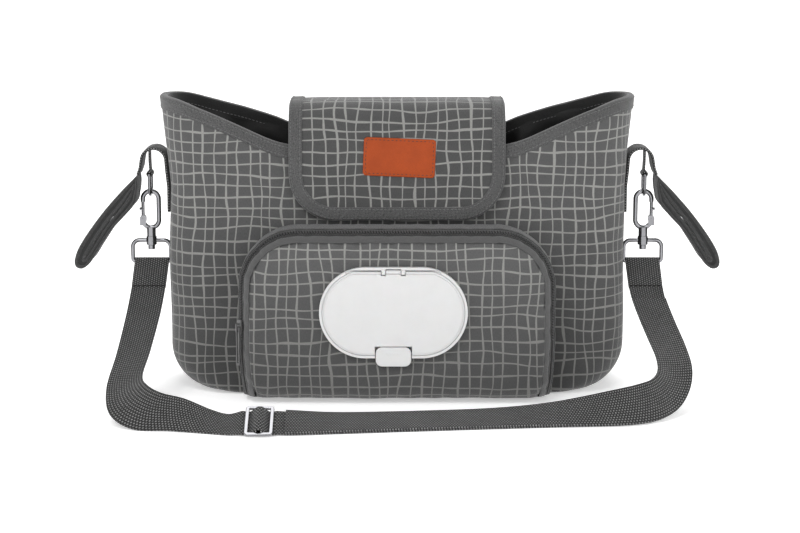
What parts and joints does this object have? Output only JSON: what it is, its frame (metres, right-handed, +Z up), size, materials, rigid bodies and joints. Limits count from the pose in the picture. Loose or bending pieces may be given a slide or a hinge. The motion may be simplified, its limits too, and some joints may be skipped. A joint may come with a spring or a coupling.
{
  "type": "diaper bag",
  "caption": "Soft stroller diaper bag with a fold-over flap, zip pocket with a wipes lid, stroller loops and a clip-on shoulder strap.",
  "frame": {"origin": "on the floor under the middle of the bag's body", "axes": "+Z up, +X to the right seen from the front, +Y to the back, away from the wipes lid"},
  "size_m": [0.5608, 0.265, 0.2551],
  "materials": {
    "outer_fabric": "dark grey woven polyester printed with thin pale wavy grid lines",
    "side_fabric": "plain dark grey woven polyester",
    "foam": "soft foam interlining",
    "board": "stiff base board",
    "lining_fabric": "near-black satin lining",
    "binding": "dark grey twill binding tape, stitched",
    "leather": "smooth tan imitation leather",
    "closure_tape": "black hook-and-loop tape",
    "zip_tape": "woven zip tape",
    "zip_teeth": "dark moulded zip teeth",
    "piping": "grey fabric band with stitches",
    "white_plastic": "satin white moulded plastic",
    "seal": "soft white seal",
    "painted_zip": "grey painted zinc",
    "webbing": "dark grey ribbed polyester webbing",
    "padding": "dark grey fabric over foam, bound edges",
    "chrome": "polished nickel plating",
    "steel_pin": "plain steel pin"
  },
  "bodies": {
    "bag": {"front_panel": "outer_fabric", "back_panel": "outer_fabric", "base_panel": "side_fabric", "foam_front": "foam", "foam_back": "foam", "base_board": "board", "lining": "lining_fabric", "rim_binding": "binding", "front_loop_tape": "closure_tape", "flap_anchor": "binding", "pocket_gusset": "side_fabric", "zip_tape_rear": "zip_tape", "zip_tape_front": "zip_tape", "zip_teeth_rear": "zip_teeth", "zip_teeth_front": "zip_teeth", "pocket_piping": "piping", "pocket_face": "outer_fabric", "pocket_base": "outer_fabric", "wipes_frame": "white_plastic", "wipes_ring": "white_plastic", "wipes_pin": "steel_pin", "wipes_seal": "seal", "side_web_left": "webbing", "side_web_right": "webbing", "side_tab_left": "webbing", "side_tab_right": "webbing", "strap_left": "webbing", "strap_right": "webbing", "strap_return": "webbing"},
    "flap": {"flap_panel": "outer_fabric", "flap_binding": "binding", "flap_label": "leather", "flap_hook_tape": "closure_tape"},
    "wipes_lid": {"wipes_lid": "white_plastic"},
    "wipes_button": {"wipes_button": "white_plastic"},
    "zip_slider": {"zip_slider": "painted_zip"},
    "zip_pull": {"zip_pull": "painted_zip"},
    "adjuster": {"adjuster": "chrome", "adjuster_weave": "webbing"},
    "pad_left": {"pad_left": "padding", "pad_tape_left": "closure_tape"},
    "swing_left": {"d_ring_left": "chrome", "swivel_eye_left": "chrome", "web_loop_left": "webbing"},
    "hook_left": {"hook_body_left": "chrome", "swivel_stud_left": "chrome", "gate_pin_left": "steel_pin"},
    "gate_left": {"hook_gate_left": "chrome"},
    "pad_right": {"pad_right": "padding", "pad_tape_right": "closure_tape"},
    "swing_right": {"d_ring_right": "chrome", "swivel_eye_right": "chrome", "web_loop_right": "webbing"},
    "hook_right": {"hook_body_right": "chrome", "swivel_stud_right": "chrome", "gate_pin_right": "steel_pin"},
    "gate_right": {"hook_gate_right": "chrome"}
  },
  "joints": [
    {"name": "flap_hinge", "type": "hinge", "parent": "bag", "child": "flap", "pos_m": [0, 0.0487, 0.205], "axis": [-1, 0, 0], "range_deg": [0, 150]},
    {"name": "wipes_lid_hinge", "type": "hinge", "parent": "bag", "child": "wipes_lid", "pos_m": [-0.003, -0.1016, 0.1145], "axis": [-1, 0, 0], "range_deg": [0, 110]},
    {"name": "wipes_button_press", "type": "hinge", "parent": "bag", "child": "wipes_button", "pos_m": [-0.003, -0.1017, 0.051], "axis": [1, 0, 0], "range_deg": [0, 4.5], "stiffness_Nm_per_rad": 0.3, "springref_deg": -1.72},
    {"name": "zip_slide", "type": "slide", "parent": "bag", "child": "zip_slider", "axis": [0, 0, 1], "range_m": [0, 0.024]},
    {"name": "zip_pull_hinge", "type": "hinge", "parent": "zip_slider", "child": "zip_pull", "pos_m": [-0.13368, -0.09028, 0.0654], "axis": [-0.4981, 0.8671, 0], "range_deg": [0, 80]},
    {"name": "adjuster_slide", "type": "slide", "parent": "bag", "child": "adjuster", "axis": [1, 0, 0], "range_m": [-0.012, 0.012], "deforming": ["strap_left", "strap_right", "strap_return"]},
    {"name": "pad_bend_left", "type": "hinge", "parent": "bag", "child": "pad_left", "pos_m": [-0.2256, 0, 0.1826], "axis": [0, 1, 0], "range_deg": [-4, 60], "stiffness_Nm_per_rad": 0.6},
    {"name": "ring_swing_left", "type": "hinge", "parent": "bag", "child": "swing_left", "pos_m": [-0.215, 0, 0.184], "axis": [0, 1, 0], "range_deg": [0, 5]},
    {"name": "hook_swivel_left", "type": "hinge", "parent": "swing_left", "child": "hook_left", "pos_m": [-0.215, 0, 0.125], "axis": [0, 0, 1], "range_deg": [-20, 20]},
    {"name": "gate_press_left", "type": "hinge", "parent": "hook_left", "child": "gate_left", "pos_m": [-0.2219, 0, 0.1446], "axis": [0, 1, 0], "range_deg": [0, 24], "stiffness_Nm_per_rad": 0.02, "springref_deg": -8.59},
    {"name": "pad_bend_right", "type": "hinge", "parent": "bag", "child": "pad_right", "pos_m": [0.2256, 0, 0.1826], "axis": [0, -1, 0], "range_deg": [-4, 60], "stiffness_Nm_per_rad": 0.6},
    {"name": "ring_swing_right", "type": "hinge", "parent": "bag", "child": "swing_right", "pos_m": [0.215, 0, 0.184], "axis": [0, -1, 0], "range_deg": [0, 5]},
    {"name": "hook_swivel_right", "type": "hinge", "parent": "swing_right", "child": "hook_right", "pos_m": [0.215, 0, 0.125], "axis": [0, 0, 1], "range_deg": [-20, 20]},
    {"name": "gate_press_right", "type": "hinge", "parent": "hook_right", "child": "gate_right", "pos_m": [0.2219, 0, 0.1446], "axis": [0, -1, 0], "range_deg": [0, 24], "stiffness_Nm_per_rad": 0.02, "springref_deg": -8.59}
  ]
}
